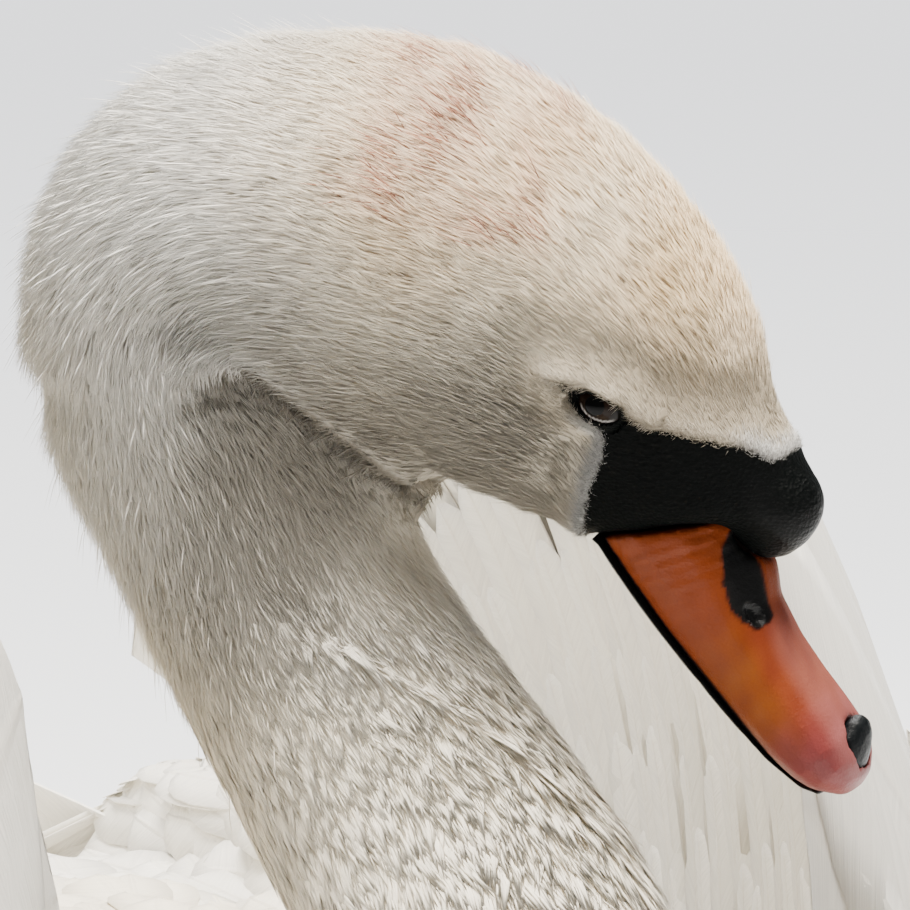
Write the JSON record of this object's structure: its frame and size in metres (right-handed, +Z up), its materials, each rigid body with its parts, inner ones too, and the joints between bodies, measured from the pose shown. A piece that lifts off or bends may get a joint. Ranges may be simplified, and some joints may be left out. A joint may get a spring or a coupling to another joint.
{
  "type": "mute swan, still life-size model",
  "caption": "Adult mute swan resting on its belly, neck drawn back and fluffed, bill down, wings arched.",
  "frame": {"origin": "on the floor, at the middle of the model's bounding box seen from above", "axes": "+Z up, the swan's breast faces -Y and its tail points to +Y, its left side is +X"},
  "size_m": [0.363, 0.779, 0.5242],
  "materials": {
    "plumage": "matte",
    "bill_orange": "satin",
    "bare_black": "satin",
    "eye": "gloss",
    "leg_skin": "satin"
  },
  "bodies": {
    "root": {"head": "plumage", "eye_left": "eye", "eye_right": "eye", "knob": "bare_black", "bill_upper": "bill_orange", "bill_lower": "bare_black", "bill_nail": "bare_black", "neck_lower": "plumage", "neck_middle": "plumage", "neck_upper": "plumage", "neck_arch": "plumage", "trunk": "plumage", "tail": "plumage", "wing_coverts_left": "plumage", "wing_flight_left": "plumage", "wing_primaries_left": "plumage", "wing_scapulars_left": "plumage", "leg_left": "leg_skin", "foot_left": "leg_skin", "wing_coverts_right": "plumage", "wing_flight_right": "plumage", "wing_primaries_right": "plumage", "wing_scapulars_right": "plumage", "leg_right": "leg_skin", "foot_right": "leg_skin"}
  },
  "joints": []
}
